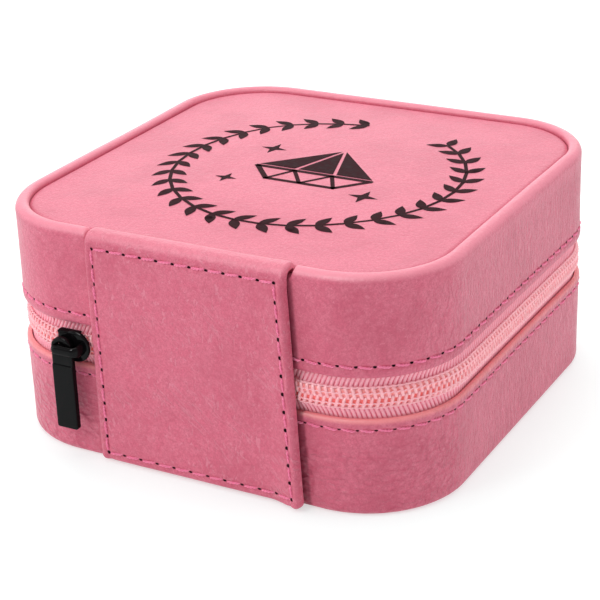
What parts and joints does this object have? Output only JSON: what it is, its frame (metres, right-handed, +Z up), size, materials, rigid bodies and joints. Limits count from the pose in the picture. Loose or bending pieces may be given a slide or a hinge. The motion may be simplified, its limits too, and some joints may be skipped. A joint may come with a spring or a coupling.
{
  "type": "zipped leather jewellery case",
  "caption": "Small square travel jewellery case in pink faux leather, with a stitched leather hinge, a zip round the other sides, ring rolls, dividers and a lid mirror.",
  "frame": {"origin": "centre of the underside of the case's square body", "axes": "+Z up; +Y towards the leather hinge panel at the back; the case opens at -Y; +X is the side that the zip's slider is parked on"},
  "size_m": [0.1008, 0.1054, 0.0508],
  "materials": {
    "leather": "soft pink faux leather with a fine pebbled grain, satin sheen",
    "hinge_leather": "the same faux leather, smoother and turned over at its edges",
    "thread": "twisted polyester sewing thread",
    "board": "grey-brown stiff board, hidden",
    "foam": "thin wadding under the lid's top",
    "velvet": "pale blush velvet lining",
    "roll_velvet": "pale blush velvet over soft foam rolls",
    "zip_tape": "woven pink zip tape with fine ribs",
    "zip_coil": "salmon pink nylon coil",
    "stop_metal": "black enamel on pressed metal",
    "mirror_frame": "pink faux leather over board",
    "mirror": "silvered glass",
    "slider_metal": "gloss black enamel on zinc"
  },
  "bodies": {
    "base": {"base_board": "board", "base_wall_cover": "leather", "base_bottom_panel": "leather", "base_lining": "velvet", "base_thread": "thread", "ring_roll_1": "roll_velvet", "ring_roll_2": "roll_velvet", "ring_roll_3": "roll_velvet", "ring_roll_4": "roll_velvet", "ring_roll_5": "roll_velvet", "long_divider": "velvet", "cross_divider_1": "velvet", "cross_divider_2": "velvet", "zip_tape_lower": "zip_tape", "zip_coil_lower": "zip_coil", "zip_tape_end": "zip_tape", "zip_coil_end": "zip_coil", "zip_top_stop": "stop_metal", "zip_bottom_stop": "stop_metal", "hinge_panel_lower": "hinge_leather", "hinge_backing_lower": "velvet", "hinge_thread_lower": "thread"},
    "lid": {"lid_board": "board", "lid_wall_cover": "leather", "lid_top_foam": "foam", "lid_top_panel": "leather", "lid_lining": "velvet", "lid_thread": "thread", "mirror_frame": "mirror_frame", "mirror": "mirror", "zip_tape_upper": "zip_tape", "zip_coil_upper": "zip_coil", "hinge_panel_upper": "hinge_leather", "hinge_backing_upper": "velvet", "hinge_thread_upper": "thread"},
    "slider": {"slider_body": "slider_metal", "slider_bridge": "slider_metal"},
    "pull": {"pull_tab": "slider_metal"}
  },
  "joints": [
    {"name": "lid_hinge", "type": "hinge", "parent": "base", "child": "lid", "pos_m": [0, 0.0515, 0.02525], "axis": [-1, 0, 0], "range_deg": [0, 105]},
    {"name": "zip_travel", "type": "hinge", "parent": "base", "child": "slider", "pos_m": [0.027, 0.027, 0.02525], "axis": [0, 0, -1], "range_deg": [0, 90]},
    {"name": "pull_swing", "type": "hinge", "parent": "slider", "child": "pull", "pos_m": [0.0282, 0.053, 0.02525], "axis": [0, -1, 0], "range_deg": [-25, 60]}
  ]
}
